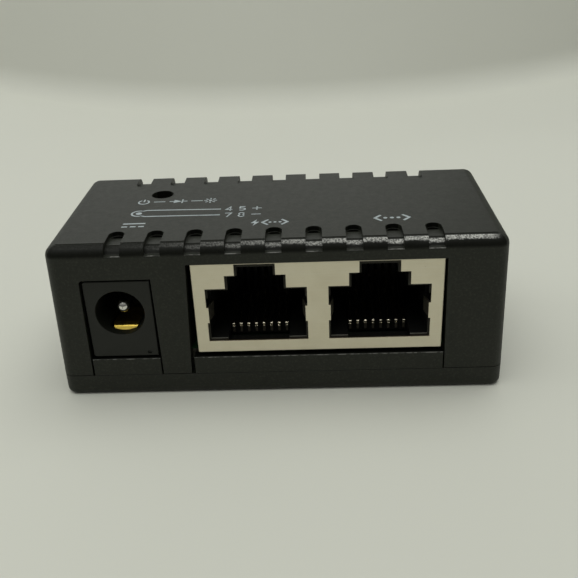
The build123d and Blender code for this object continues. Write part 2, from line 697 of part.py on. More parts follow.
with BuildPart() as lamp_body:
    with BuildSketch(Plane.XZ):
        dome_z = LAMP_BASE_Z + LAMP_H - LAMP_R
        with BuildLine():
            Line((0, LAMP_BASE_Z), (LAMP_FLANGE_R, LAMP_BASE_Z))
            Line((LAMP_FLANGE_R, LAMP_BASE_Z), (LAMP_FLANGE_R, LAMP_BASE_Z + 1))
            Line((LAMP_FLANGE_R, LAMP_BASE_Z + 1), (LAMP_R, LAMP_BASE_Z + 1))
            Line((LAMP_R, LAMP_BASE_Z + 1), (LAMP_R, dome_z))
            RadiusArc((LAMP_R, dome_z), (0, dome_z + LAMP_R), -LAMP_R)
            Line((0, dome_z + LAMP_R), (0, LAMP_BASE_Z))
        make_face()
    revolve(axis=Axis.Z)
save(lamp_body.part.moved(Location((LAMP_X, LAMP_Y, 0))), "lamp_body")

with BuildPart() as lamp_leads:
    for x in LAMP_LEADS:
        thick = (x - LEAD_W / 2, x + LEAD_W / 2)
        deep = (LAMP_Y - LEAD_W / 2, LAMP_Y + LEAD_W / 2)
        box(thick, deep, (TAIL_Z, LAMP_BASE_Z))
        box((x - 0.45, x + 0.45), deep, (LAMP_BASE_Z - 2.4, LAMP_BASE_Z - 1.9))
save(lamp_leads.part, "lamp_leads")

# ---------------------------------------------------------------- small board components


def chip(name, at, size, cap, body_name, cap_name):
    """A surface-mounted part, long in X: its body, and the metal caps on its two ends."""
    (x, y), (w, d, h) = at, size
    with BuildPart() as body:
        box((x - w / 2 + cap, x + w / 2 - cap), (y - d / 2, y + d / 2), (BOARD_TOP + 0.03, BOARD_TOP + h))
    with BuildPart() as caps:
        for side in (-1, 1):
            ends = sorted((x + side * (w / 2 - cap), x + side * w / 2))
            box(ends, (y - d / 2, y + d / 2), (BOARD_TOP, BOARD_TOP + h + 0.03))
    save(body.part, f"{name}_{body_name}")
    save(caps.part, f"{name}_{cap_name}")


chip("resistor", (-21.0, 7.4), (3.2, 1.6, 0.6), 0.45, "body", "caps")
chip("fuse", (-3.0, 8.6), (4.6, 3.2, 1.1), 0.6, "body", "caps")

with BuildPart() as diode_body:
    diode_x, diode_y = -11.0, 8.6
    wide, deep = (diode_x - 2.15, diode_x + 2.15), (diode_y - 1.3, diode_y + 1.3)
    box(wide, deep, (BOARD_TOP + 0.25, BOARD_TOP + 2.3))
    chamfer(diode_body.faces().sort_by(Axis.Z)[-1].edges(), length=0.2)
save(diode_body.part, "diode_body")

with BuildPart() as diode_leads:
    for side in (-1, 1):
        foot = sorted((diode_x + side * 1.4, diode_x + side * 2.5))
        post = sorted((diode_x + side * 2.2, diode_x + side * 2.5))
        box(foot, (diode_y - 0.7, diode_y + 0.7), (BOARD_TOP, BOARD_TOP + 0.2))
        box(post, (diode_y - 0.7, diode_y + 0.7), (BOARD_TOP, BOARD_TOP + 1.2))
save(diode_leads.part, "diode_leads")

# ---------------------------------------------------------------- solder


def fillet_of_solder(x, y, hole_w, hole_d, spread):
    """A cone of solder under the board round one tail, inside the open BuildPart."""
    with BuildSketch(Plane.XY.offset(BOARD_BOTTOM)) as pad:
        with Locations((x, y)):
            RectangleRounded(hole_w + 2 * spread, hole_d + 2 * spread, spread * 0.9)
    extrude(pad.sketch, amount=-0.55, taper=35)
    tail = (x - hole_w / 2, x + hole_w / 2), (y - hole_d / 2, y + hole_d / 2)
    box(*tail, (TAIL_Z - 1, BOARD_TOP), Mode.SUBTRACT)


with BuildPart() as solder_joints:
    for name in PORTS:
        for i, x in enumerate(contact_xs(name)):
            fillet_of_solder(x, tail_y(i), CONTACT_W, 0.3, 0.45)
    for x in LEG_X:
        for y in LEG_Y:
            fillet_of_solder(x, y, SHEET, 1.1, 0.5)
    for x, y, w, d in JACK_TAILS.values():
        fillet_of_solder(x, y, w, d, 0.6)
    for x in LAMP_LEADS:
        fillet_of_solder(x, LAMP_Y, LEAD_W, LEAD_W, 0.45)
save(solder_joints.part, "solder_joints")
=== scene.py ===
"""Looks of the PoE injector: materials, printed marks, floor, lights and camera.

Everything is set round the CAD frame. The stage is measured in metres, and the materials' patterns
and the printed marks in millimetres.
"""

import bmesh
import bpy
import json
import math
from mathutils import Matrix, Vector


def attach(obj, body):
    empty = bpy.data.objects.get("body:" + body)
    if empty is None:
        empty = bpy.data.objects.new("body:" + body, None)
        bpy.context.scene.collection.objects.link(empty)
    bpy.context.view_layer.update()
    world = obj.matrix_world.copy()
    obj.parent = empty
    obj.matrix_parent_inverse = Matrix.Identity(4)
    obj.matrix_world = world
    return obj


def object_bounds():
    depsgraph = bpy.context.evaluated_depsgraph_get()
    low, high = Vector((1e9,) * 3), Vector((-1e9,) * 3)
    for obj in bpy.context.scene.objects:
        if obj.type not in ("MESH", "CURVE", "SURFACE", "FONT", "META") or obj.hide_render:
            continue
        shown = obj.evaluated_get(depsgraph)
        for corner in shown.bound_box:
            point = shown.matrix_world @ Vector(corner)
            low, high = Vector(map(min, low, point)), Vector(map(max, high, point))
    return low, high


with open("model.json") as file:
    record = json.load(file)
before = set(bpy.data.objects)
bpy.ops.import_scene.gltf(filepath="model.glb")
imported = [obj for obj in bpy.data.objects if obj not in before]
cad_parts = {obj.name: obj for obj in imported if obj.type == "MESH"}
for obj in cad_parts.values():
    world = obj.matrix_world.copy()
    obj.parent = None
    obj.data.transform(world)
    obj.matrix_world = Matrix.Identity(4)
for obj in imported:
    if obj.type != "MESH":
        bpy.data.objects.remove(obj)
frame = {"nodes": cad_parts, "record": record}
cad_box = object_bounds()
MM = 0.001
scene = bpy.context.scene


# ---------------------------------------------------------------- node materials

# where a finish changes on the CAD shape, in mm: each pair is a soft border or a thin slab
ROUNDING_Z = (20.1, 20.6)
VENT_SILL_Z = (20.30, 20.38)
VENT_SILL_OUTER_Y = (12.86, 12.92)
TAB_TOP_Z = (5.40, 5.60)
PORT_FLOOR_Z = (8.00, 8.10)
PORT_FLOOR_FRONT_Y = (-12.46, -12.42)
SOCKET_RIM_Y = (-12.57, -12.40)
PLATE_Y = (-12.67, -12.61)
PLATE_BACK_Y = (-12.66, -12.50)
PLATE_TOP_Z = (18.74, 18.80)
LAMP_Z = (14.5, 19.2)
# the eroded band of the top edges and its painted glints grow to the right, and fade before the
# right end
BAND_GROWTH_X = (-20.0, 22.0)
BAND_FADE_X = (26.0, 27.8)

SLAB_BORDER = 0.01
WEAVE_RADIANS_PER_MM = 9.0
EDGE_SAMPLES = 6
# the Mix node's sockets for each kind of value: its first and second input, and its result
MIX_SOCKETS = {"RGBA": (6, 7, 2), "FLOAT": (2, 3, 0)}


class Look:
    """A principled material whose patterns are placed in millimetres of the row frame."""

    def __init__(self, name, **sockets):
        self.material = bpy.data.materials.new(name)
        self.material.use_nodes = True
        self.tree = self.material.node_tree
        self.tree.nodes.clear()
        self.shader = self.tree.nodes.new("ShaderNodeBsdfPrincipled")
        surface = self.tree.nodes.new("ShaderNodeOutputMaterial")
        self.tree.links.new(self.shader.outputs[0], surface.inputs["Surface"])
        for socket, value in sockets.items():
            self.shader.inputs[socket.replace("_", " ")].default_value = value
        coordinates = self.tree.nodes.new("ShaderNodeTexCoord")
        self.place = self.vector("SCALE", coordinates.outputs["Object"], 1 / MM)
        geometry = self.tree.nodes.new("ShaderNodeNewGeometry")
        self.facing = geometry.outputs["Normal"]

    def feed(self, value, socket):
        """Puts a number, a colour or another node's output into a socket."""
        if isinstance(value, bpy.types.NodeSocket):
            self.tree.links.new(value, socket)
        elif isinstance(value, tuple) and len(value) == 3 and socket.type == "RGBA":
            socket.default_value = (*value, 1)
        else:
            socket.default_value = value

    def vector(self, operation, a, b):
        node = self.tree.nodes.new("ShaderNodeVectorMath")
        node.operation = operation
        self.feed(a, node.inputs[0])
        self.feed(b, node.inputs["Scale"] if operation == "SCALE" else node.inputs[1])
        return node.outputs["Vector"]

    def math(self, operation, a, b=0.0, c=0.0):
        node = self.tree.nodes.new("ShaderNodeMath")
        node.operation = operation
        for value, socket in zip((a, b, c), node.inputs):
            self.feed(value, socket)
        return node.outputs[0]

    def product(self, first, *others):
        """Several masks or numbers multiplied together."""
        for other in others:
            first = self.math("MULTIPLY", first, other)
        return first

    def parts(self, source):
        """The x, y and z of a vector."""
        node = self.tree.nodes.new("ShaderNodeSeparateXYZ")
        self.feed(source, node.inputs[0])
        return tuple(node.outputs)

    def rise(self, value, low, high):
        """Rises smoothly from 0 at low to 1 at high."""
        node = self.tree.nodes.new("ShaderNodeMapRange")
        node.interpolation_type = "SMOOTHSTEP"
        self.feed(value, node.inputs["Value"])
        node.inputs["From Min"].default_value = low
        node.inputs["From Max"].default_value = high
        return node.outputs["Result"]

    def fall(self, value, low, high):
        """Falls smoothly from 1 at low to 0 at high."""
        return self.math("SUBTRACT", 1.0, self.rise(value, low, high))

    def between(self, value, low, high):
        """1 where the value lies from low to high, and 0 outside."""
        above = self.rise(value, low - SLAB_BORDER, low)
        return self.product(above, self.fall(value, high, high + SLAB_BORDER))

    def spread(self, value, low, high):
        """Maps 0..1 straight onto low..high."""
        node = self.tree.nodes.new("ShaderNodeMapRange")
        self.feed(value, node.inputs["Value"])
        node.inputs["To Min"].default_value = low
        node.inputs["To Max"].default_value = high
        return node.outputs["Result"]

    def noise(self, scale, detail=2.0, roughness=0.5, stretch=None):
        """Noise with its scale per millimetre; a stretch below 1 draws it out along that axis."""
        node = self.tree.nodes.new("ShaderNodeTexNoise")
        source = self.vector("MULTIPLY", self.place, stretch) if stretch else self.place
        self.feed(source, node.inputs["Vector"])
        node.inputs["Scale"].default_value = scale
        node.inputs["Detail"].default_value = detail
        node.inputs["Roughness"].default_value = roughness
        return node.outputs["Fac"]

    def cells(self, scale):
        """Round cells, as the distance to the nearest middle."""
        node = self.tree.nodes.new("ShaderNodeTexVoronoi")
        self.feed(self.place, node.inputs["Vector"])
        node.inputs["Scale"].default_value = scale
        return node.outputs["Distance"]

    def mixed(self, kind, share, first, second):
        node = self.tree.nodes.new("ShaderNodeMix")
        node.data_type = kind
        first_socket, second_socket, result = MIX_SOCKETS[kind]
        self.feed(share, node.inputs[0])
        self.feed(first, node.inputs[first_socket])
        self.feed(second, node.inputs[second_socket])
        return node.outputs[result]

    def mix(self, share, first, second):
        """A colour between two others."""
        return self.mixed("RGBA", share, first, second)

    def blend(self, share, first, second):
        """A number between two others."""
        return self.mixed("FLOAT", share, first, second)

    def cover(self, under, over, mask, strength):
        """Lays one colour over another where the mask is 1."""
        return self.mix(self.product(mask, strength), under, over)

    def round_edges(self, radius_mm):
        """Catches light on edges as if they were broken by a small radius."""
        node = self.tree.nodes.new("ShaderNodeBevel")
        node.samples = EDGE_SAMPLES
        node.inputs["Radius"].default_value = radius_mm * MM
        return node.outputs["Normal"]

    def bump(self, height, depth_mm, strength, under=None):
        """Relief that lies on top of another normal, if one is given."""
        node = self.tree.nodes.new("ShaderNodeBump")
        self.feed(height, node.inputs["Height"])
        node.inputs["Distance"].default_value = depth_mm * MM
        self.feed(strength, node.inputs["Strength"])
        if under is not None:
            self.feed(under, node.inputs["Normal"])
        return node.outputs["Normal"]

    def finish(self, colour, roughness, normal):
        self.feed(colour, self.shader.inputs["Base Color"])
        self.feed(roughness, self.shader.inputs["Roughness"])
        self.feed(normal, self.shader.inputs["Normal"])
        return self.material


def case_plastic():
    """Matt moulded black; the top's rounded long edges carry painted shade and a coarse
    spark-eroded band with painted glints.
    """
    black, grey_black = (0.0070, 0.0082, 0.0047), (0.0128, 0.0143, 0.0094)
    pale_grain, rubbed_grey = (0.035, 0.038, 0.026), (0.12, 0.12, 0.11)
    rounding_painted_shade, painted_glint_pale = (0.0030, 0.0032, 0.0024), (0.52, 0.52, 0.49)
    painted_highlight_grey, shaded_black = (0.17, 0.17, 0.16), (0.0016, 0.0017, 0.0013)
    look = Look("case_plastic_moulded")
    x, y, z = look.parts(look.place)
    facing_x, facing_y, up = look.parts(look.facing)

    # blotchy tone, fine grain and, on the flat top, faint rubbed streaks
    tone = look.spread(look.noise(0.10, 4.0, 0.6), 0.1, 0.9)
    grain = look.noise(3.2, 3.0, 0.65)
    colour = look.mix(tone, black, grey_black)
    colour = look.cover(colour, pale_grain, look.rise(grain, 0.46, 0.76), 0.5)
    streaks = look.rise(look.noise(0.9, 4.0, 0.65, stretch=(0.25, 3.2, 1.0)), 0.60, 0.78)
    level = look.rise(up, 0.985, 0.999)
    colour = look.cover(colour, rubbed_grey, look.product(streaks, level), 0.10)

    # the rounded long edges of the top, from where they leave it: painted darker as painted shade,
    # and less specular
    leaving_top = look.fall(up, 0.988, 0.997)
    frontward = look.math("ABSOLUTE", facing_y)
    sideways = look.math("ABSOLUTE", facing_x)
    lengthwise = look.rise(look.math("SUBTRACT", frontward, sideways), 0.0, 0.12)
    rounding = look.product(leaving_top, look.rise(z, *ROUNDING_Z), lengthwise)
    colour = look.cover(colour, rounding_painted_shade, rounding, 0.75)

    # the eroded band: the upper part of the roundings, ragged below; its pale flecks are painted
    # glints
    ragged = look.math("MULTIPLY_ADD", look.noise(2.2, 3.0, 0.7), 0.3, -0.15)
    leaning = look.rise(look.math("ADD", up, ragged), 0.70, 0.84)
    below_lip = look.fall(up, 0.965, 0.982)
    growth = look.spread(look.rise(x, *BAND_GROWTH_X), 0.02, 1.0)
    band = look.product(leaning, below_lip, rounding, growth, look.fall(x, *BAND_FADE_X))
    flecks = look.rise(look.noise(4.6, 3.0, 0.7), 0.40, 0.60)
    painted_glints = look.product(band, look.spread(flecks, 0.10, 1.0))
    colour = look.mix(painted_glints, colour, painted_glint_pale)

    # painted highlights, in patches: on the vents' sills and the upper edges of the tabs
    at_side = look.rise(look.math("ABSOLUTE", y), *VENT_SILL_OUTER_Y)
    sill = look.product(look.rise(up, 0.9, 0.98), look.between(z, *VENT_SILL_Z), at_side)
    tab_edge = look.product(look.between(up, 0.25, 0.80), look.between(z, *TAB_TOP_Z))
    patches = look.rise(look.noise(0.9, 3.0, 0.7), 0.42, 0.60)
    painted_highlights = look.product(look.math("MAXIMUM", sill, tab_edge), patches)
    colour = look.cover(colour, painted_highlight_grey, painted_highlights, 0.8)

    # the upper faces of the tabs are dull, and painted nearly black as painted shade
    tab_top = look.product(look.rise(up, 0.90, 0.95), look.between(z, *TAB_TOP_Z))
    colour = look.cover(colour, shaded_black, tab_top, 0.8)

    shine = look.blend(look.math("MAXIMUM", rounding, tab_top), 0.32, 0.12)
    look.feed(look.blend(band, shine, 0.5), look.shader.inputs["Specular IOR Level"])
    roughness = look.spread(look.noise(1.1, 3.0, 0.6), 0.42, 0.56)
    polished = look.spread(look.noise(6.0, 2.0, 0.6), 0.18, 0.45)
    roughness = look.blend(band, roughness, polished)
    relief = look.bump(look.noise(0.16), 0.05, 0.5, look.round_edges(0.09))
    relief = look.bump(grain, 0.014, 0.55, relief)
    relief = look.bump(look.cells(4.2), 0.09, band, relief)
    return look.finish(colour, roughness, relief)


def moulded_black(name, shine, dark, light, smooth, rough, grain_mm, depth_mm, painted_light_rim=None):
    """A satin or matt black moulding with a fine grain; a colour for the rim, if given, is painted
    light on its outermost front.
    """
    grain_lift, painted_highlight_pale = 2.2, (0.22, 0.21, 0.18)
    look = Look(name, Specular_IOR_Level=shine)
    grain = look.noise(1 / grain_mm, 3.0, 0.6)
    colour = look.mix(look.noise(0.35, 3.0, 0.6), dark, light)
    pale_grain = tuple(grain_lift * channel for channel in light)
    colour = look.cover(colour, pale_grain, look.rise(grain, 0.55, 0.8), 0.3)
    if painted_light_rim:
        _, y, z = look.parts(look.place)
        up = look.parts(look.facing)[2]
        # painted light: the outermost front is painted lighter than the rest
        outermost = look.fall(y, *SOCKET_RIM_Y)
        colour = look.cover(colour, painted_light_rim, outermost, look.spread(grain, 0.5, 1.0))
        # a painted highlight on the front edge of the ports' floor
        patches = look.spread(look.noise(1.2), 0.4, 1.0)
        at_front, level = look.fall(y, *PORT_FLOOR_FRONT_Y), look.rise(up, 0.8, 0.9)
        floor_edge_highlight = look.product(at_front, level, look.between(z, *PORT_FLOOR_Z))
        colour = look.cover(colour, painted_highlight_pale, floor_edge_highlight, patches)
    roughness = look.spread(look.noise(0.9, 3.0, 0.6), smooth, rough)
    relief = look.bump(look.noise(0.3), 0.03, 0.5, look.round_edges(0.06))
    relief = look.bump(grain, depth_mm, 0.6, relief)
    return look.finish(colour, roughness, relief)


def shield_sheet():
    """Matt nickel on rolled sheet; the punched edges are brownish and darker."""
    dull_nickel, warm_nickel = (0.63, 0.575, 0.44), (0.75, 0.70, 0.565)
    bright_lines, brown_specks = (0.76, 0.73, 0.64), (0.33, 0.28, 0.20)
    cut_brown, shaded_nickel = (0.20, 0.13, 0.07), (0.19, 0.175, 0.14)
    look = Look("shield_matt_nickel", Metallic=1.0)
    _, y, z = look.parts(look.place)
    facing_y = look.parts(look.facing)[1]
    rolling = look.noise(2.2, 4.0, 0.6, stretch=(0.12, 1.0, 3.0))
    cloud = look.noise(0.28, 3.0, 0.6)
    colour = look.mix(cloud, dull_nickel, warm_nickel)
    colour = look.cover(colour, bright_lines, look.rise(rolling, 0.45, 0.8), 0.35)
    specks = look.rise(look.noise(5.0, 2.0, 0.7), 0.66, 0.76)
    colour = look.cover(colour, brown_specks, specks, 0.35)
    edge_on = look.fall(look.math("ABSOLUTE", facing_y), 0.3, 0.7)
    cut = look.product(edge_on, look.fall(y, *PLATE_Y), look.fall(z, *PLATE_TOP_Z))
    colour = look.cover(colour, cut_brown, cut, 0.85)
    behind = look.rise(y, *PLATE_BACK_Y)
    colour = look.cover(colour, shaded_nickel, behind, 0.8)
    roughness = look.spread(rolling, 0.36, 0.52)
    relief = look.bump(cloud, 0.04, 0.4, look.round_edges(0.05))
    relief = look.bump(rolling, 0.006, 0.5, relief)
    relief = look.bump(look.noise(9.0, 2.0, 0.6), 0.004, 0.5, relief)
    return look.finish(colour, roughness, relief)


def plated(name, dark, light, smooth, rough, drawn_along, edge_mm=0.03):
    """A plated or rolled metal part: drawn lines, a little tarnish and an uneven polish."""
    tarnish = (0.25, 0.20, 0.12)
    look = Look(name, Metallic=1.0)
    drawn = look.noise(6.0, 3.0, 0.6, stretch=drawn_along)
    colour = look.mix(look.noise(1.4, 3.0, 0.6), dark, light)
    spots = look.rise(look.noise(3.0, 4.0, 0.7), 0.58, 0.74)
    colour = look.cover(colour, tarnish, spots, 0.3)
    relief = look.bump(drawn, 0.006, 0.5, look.round_edges(edge_mm))
    return look.finish(colour, look.spread(drawn, smooth, rough), relief)


def board_laminate():
    """Green solder mask over woven glass; the routed edges show the bare laminate."""
    dark_mask, light_mask = (0.008, 0.034, 0.012), (0.014, 0.052, 0.020)
    over_copper = (0.022, 0.085, 0.030)
    dark_layer, light_layer = (0.016, 0.016, 0.008), (0.034, 0.032, 0.018)
    look = Look("board_solder_mask", Coat_Weight=0.25, Coat_Roughness=0.2)
    x, y, _ = look.parts(look.place)
    up = look.parts(look.facing)[2]
    threads = [look.math("SINE", look.product(way, WEAVE_RADIANS_PER_MM)) for way in (x, y)]
    cloud = look.noise(0.3, 3.0)
    mask = look.mix(cloud, dark_mask, light_mask)
    # copper runs under the mask, as lighter bands
    runs = look.rise(look.noise(0.22, detail=0.0, stretch=(1.0, 0.35, 1.0)), 0.52, 0.54)
    mask = look.cover(mask, over_copper, runs, 0.6)
    edge = look.fall(look.math("ABSOLUTE", up), 0.3, 0.7)
    layers = look.noise(2.0, 3.0, 0.7, stretch=(0.3, 0.3, 6.0))
    colour = look.mix(edge, mask, look.mix(layers, dark_layer, light_layer))
    roughness = look.blend(edge, look.spread(cloud, 0.28, 0.40), 0.75)
    relief = look.bump(look.product(*threads), 0.010, 0.35, look.round_edges(0.05))
    relief = look.bump(runs, 0.03, 0.7, relief)
    return look.finish(colour, roughness, relief)


def lamp_epoxy():
    """Tinted epoxy, a little cloudy, with flow lines along its height."""
    deep_red, bright_red = (0.30, 0.020, 0.015), (0.52, 0.060, 0.045)
    milky_red = (0.62, 0.16, 0.12)
    look = Look(
        "lamp_red_epoxy", IOR=1.54, Transmission_Weight=0.55, Coat_Weight=0.3, Coat_Roughness=0.1
    )
    z = look.parts(look.place)[2]
    cloud = look.noise(0.8, 3.0, 0.6)
    colour = look.mix(look.rise(z, *LAMP_Z), deep_red, bright_red)
    colour = look.cover(colour, milky_red, cloud, 0.4)
    flow = look.noise(2.5, stretch=(0.4, 0.4, 3.0))
    relief = look.bump(flow, 0.01, 0.4, look.round_edges(0.05))
    return look.finish(colour, look.spread(cloud, 0.12, 0.26), relief)


def component(name, dark, light, rough, speckle):
    """A small moulded or glazed component body with filler specks."""
    look = Look(name)
    specks = look.rise(look.noise(9.0, 2.0, 0.7), 0.60, 0.72)
    colour = look.mix(look.noise(1.2, 3.0, 0.6), dark, light)
    colour = look.cover(colour, speckle, specks, 0.5)
    roughness = look.spread(look.noise(2.0), rough - 0.08, rough + 0.08)
    relief = look.bump(look.noise(5.0, 3.0, 0.6), 0.012, 0.6, look.round_edges(0.06))
    return look.finish(colour, roughness, relief)


def solder():
    """Bright solder with dull flux-stained patches."""
    bright_tin, flux_stain = (0.74, 0.75, 0.76), (0.42, 0.38, 0.28)
    look = Look("solder_bright", Metallic=1.0)
    stain = look.rise(look.noise(1.6, 4.0, 0.65), 0.45, 0.72)
    colour = look.mix(stain, bright_tin, flux_stain)
    relief = look.bump(look.noise(2.4, 3.0, 0.6), 0.05, 0.5, look.round_edges(0.05))
    return look.finish(colour, look.spread(stain, 0.22, 0.55), relief)


def print_ink():
    """Pale pad-printed ink, darker in patches where it lies thin."""
    cool_grey, pale_grey = (0.30, 0.35, 0.37), (0.39, 0.44, 0.46)
    thin_grey = (0.16, 0.18, 0.19)
    look = Look("print_ink_pale")
    thin = look.rise(look.noise(2.6, 4.0, 0.7), 0.48, 0.72)
    colour = look.mix(look.noise(0.6), cool_grey, pale_grey)
    colour = look.cover(colour, thin_grey, thin, 0.55)
    relief = look.bump(look.noise(8.0), 0.008, 0.5)
    return look.finish(colour, look.spread(thin, 0.42, 0.6), relief)


finishes = {
    "case_plastic": case_plastic(),
    "jack_plastic": moulded_black(
        "jack_satin_black", shine=0.34,
        dark=(0.0060, 0.0069, 0.0046), light=(0.0100, 0.0111, 0.0080),
        smooth=0.40, rough=0.54, grain_mm=0.22, depth_mm=0.010,
    ),
    "socket_plastic": moulded_black(
        "socket_matt_black", shine=0.2,
        dark=(0.0034, 0.0036, 0.0030), light=(0.0058, 0.0060, 0.0052),
        smooth=0.5, rough=0.68, grain_mm=0.16, depth_mm=0.012, painted_light_rim=(0.030, 0.028, 0.021),
    ),
    "shield_sheet": shield_sheet(),
    "contact_gold": plated(
        "contact_gold_flash", dark=(0.74, 0.66, 0.48), light=(0.90, 0.84, 0.70),
        smooth=0.08, rough=0.16, drawn_along=(1.0, 0.2, 1.0), edge_mm=0.11,
    ),
    "nickel_plate": plated(
        "pin_bright_nickel", dark=(0.60, 0.59, 0.55), light=(0.78, 0.77, 0.74),
        smooth=0.10, rough=0.22, drawn_along=(1.0, 0.25, 1.0),
    ),
    "spring_brass": plated(
        "spring_rolled_brass", dark=(0.78, 0.54, 0.08), light=(0.90, 0.68, 0.16),
        smooth=0.24, rough=0.40, drawn_along=(1.0, 0.15, 1.0),
    ),
    "tin_plate": plated(
        "leads_matt_tin", dark=(0.62, 0.62, 0.60), light=(0.76, 0.76, 0.74),
        smooth=0.34, rough=0.5, drawn_along=(1.0, 1.0, 0.3),
    ),
    "board_laminate": board_laminate(),
    "lamp_epoxy": lamp_epoxy(),
    "component_ceramic": component(
        "resistor_glaze", dark=(0.012, 0.012, 0.014), light=(0.024, 0.024, 0.028),
        rough=0.25, speckle=(0.10, 0.10, 0.11),
    ),
    "fuse_laminate": component(
        "fuse_green_laminate", dark=(0.03, 0.13, 0.06), light=(0.05, 0.19, 0.09),
        rough=0.5, speckle=(0.16, 0.30, 0.18),
    ),
    "component_epoxy": component(
        "diode_black_epoxy", dark=(0.012, 0.012, 0.013), light=(0.022, 0.022, 0.024),
        rough=0.6, speckle=(0.08, 0.08, 0.08),
    ),
    "solder": solder(),
}
for part in frame["record"]["subparts"]:
    node = frame["nodes"][part["node"]]
    node.data.materials.clear()
    node.data.materials.append(finishes[part["material_slot"]])


# ---------------------------------------------------------------- printed marks on the top

# widths of the pen strokes, in mm
RAY, DIGIT_STROKE, PLAIN = 0.20, 0.20, 0.22
PLUG_RING, SUPPLY_LINE, ANGLE, BAR = 0.26, 0.28, 0.30, 0.34
# how far the ink goes under and over the top face, in mm
INK_UNDER, INK_OVER = -0.004, 0.012
# where the marks lie on the top, in mm
LAMP_LEGEND_Y, POWERED_NETWORK_Y, NETWORK_Y = 1.92, -6.62, -6.3
PLUG_SIGN = (-18.65, -2.3)
CONTACT_COLUMNS = (-6.9, -5.1, -3.35)
DIGIT_HEIGHT = 1.4
# the mitre of a stroke's turn grows no further than at this cosine
SHARPEST_MITRE = 0.4
RING_STEPS = 28

top_z = cad_box[1].z / MM
ink = print_ink()


def arc(centre, radius, start, end, steps):
    """Points along an arc, by angles in degrees."""
    turns = [math.radians(start + (end - start) * i / steps) for i in range(steps + 1)]
    return [(centre[0] + radius * math.cos(t), centre[1] + radius * math.sin(t)) for t in turns]


def disc(centre, radius, corners):
    """The outline of a round dot."""
    steps = corners - 1
    return arc(centre, radius, 0, 360 * steps / corners, steps)


def stroke(path, width=PLAIN):
    """The outline of a pen stroke along an open path, with mitred turns."""
    points = [Vector(p) for p in path]
    left, right = [], []
    for i, here in enumerate(points):
        before = (here - points[i - 1]).normalized() if i else None
        after = (points[i + 1] - here).normalized() if i + 1 < len(points) else None
        before, after = before or after, after or before
        across = Vector((-(before + after).y, (before + after).x)).normalized()
        reach = width / 2 / max(SHARPEST_MITRE, across.dot(Vector((-before.y, before.x))))
        left.append(here + across * reach)
        right.append(here - across * reach)
    return left + right[::-1]


def open_ring(centre, radius, start, end, width=PLAIN):
    """A stroke along part of a circle."""
    return stroke(arc(centre, radius, start, end, RING_STEPS), width)


def print_mark(name, outlines):
    """One printed mark: thin solid shapes of ink lying on the top face."""
    mesh = bmesh.new()
    for outline in outlines:
        low = [mesh.verts.new((x * MM, y * MM, (top_z + INK_UNDER) * MM)) for x, y in outline]
        high = [mesh.verts.new((x * MM, y * MM, (top_z + INK_OVER) * MM)) for x, y in outline]
        mesh.faces.new(high)
        mesh.faces.new(low[::-1])
        for i in range(len(low)):
            j = (i + 1) % len(low)
            mesh.faces.new((low[i], low[j], high[j], high[i]))
    bmesh.ops.recalc_face_normals(mesh, faces=mesh.faces)
    data = bpy.data.meshes.new(name)
    mesh.to_mesh(data)
    mesh.free()
    mark = bpy.data.objects.new(name, data)
    scene.collection.objects.link(mark)
    data.materials.append(ink)
    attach(mark, "injector")


def print_row(name, y, signs):
    """One printed mark made of signs in a row, each with its shapes, x and size."""
    print_mark(name, [
        [(x + size * u, y + size * v) for u, v in shape]
        for shapes, x, size in signs for shape in shapes
    ])


# how the lamp lights: power, diode and rays, joined by dashes
power_sign = [open_ring((0, 0), 0.72, 120, 420), stroke([(0, 0.1), (0, 0.98)])]
dash = [stroke([(0, 0), (1.6, 0)])]
diode_sign = [
    [(-0.55, -0.62), (-0.55, 0.62), (0.5, 0)],
    stroke([(0.62, -0.66), (0.62, 0.66)]),
    stroke([(-1.2, 0), (-0.55, 0)]),
    stroke([(0.7, 0), (1.3, 0)]),
]
eighths = [math.radians(45 * i) for i in range(8)]
ray_sign = [
    stroke([(0.45 * math.cos(a), 0.45 * math.sin(a)), (0.9 * math.cos(a), 0.9 * math.sin(a))], RAY)
    for a in eighths
]
ray_sign.append(disc((0, 0), 0.24, 20))
print_row("print_lamp_legend", LAMP_LEGEND_Y, [
    (power_sign, -18.75, 1), (dash, -17.35, 1), (diode_sign, -13.95, 1), (dash, -12.1, 1),
    (ray_sign, -9.4, 1),
])

# a plug joined to the two supply lines
print_mark("print_supply_lines", [
    stroke([(-18.4, -1.55), (-17.7, -1.2), (-7.6, -1.5)], SUPPLY_LINE),
    stroke([(-18.4, -3.05), (-17.7, -3.4), (-7.55, -3.58)], SUPPLY_LINE),
    disc(PLUG_SIGN, 0.42, 24),
    open_ring(PLUG_SIGN, 0.95, 60, 300, PLUG_RING),
])

# the contacts that each supply line feeds, and its sign; each path is for a digit 1 high
FOUR = [[(0.42, -0.5), (0.42, 0.5), (0.0, -0.18), (0.62, -0.18)]]
FIVE = [
    [(0.55, 0.48), (0.08, 0.48), (0.05, 0.08), (0.3, 0.13)]
    + [(0.55, -0.05), (0.55, -0.3), (0.3, -0.48), (0.0, -0.4)]
]
SEVEN = [[(0.0, 0.46), (0.6, 0.46), (0.22, -0.5)]]
EIGHT = [arc((0.3, 0.24), 0.23, 0, 340, 17), arc((0.3, -0.24), 0.26, 0, 340, 17)]
PLUS = [[(0.0, 0.0), (0.9, 0.0)], [(0.45, -0.42), (0.45, 0.42)]]
MINUS = [[(0.0, 0.0), (0.9, 0.0)]]
contact_rows = (("upper", -1.5, (FOUR, FIVE, PLUS)), ("lower", -3.68, (SEVEN, EIGHT, MINUS)))
for row, y, signs in contact_rows:
    print_mark(f"print_contact_row_{row}", [
        stroke([(x + DIGIT_HEIGHT * u, y + DIGIT_HEIGHT * v) for u, v in path], DIGIT_STROKE)
        for x, paths in zip(CONTACT_COLUMNS, signs) for path in paths
    ])

# direct current: a solid bar over a broken one
bars = (
    (-20.05, -17.1, -5.85),
    (-20.05, -19.3, -6.85), (-18.95, -18.2, -6.85), (-17.85, -17.1, -6.85),
)
print_mark("print_direct_current", [
    stroke([(left, y), (right, y)], BAR) for left, right, y in bars
])

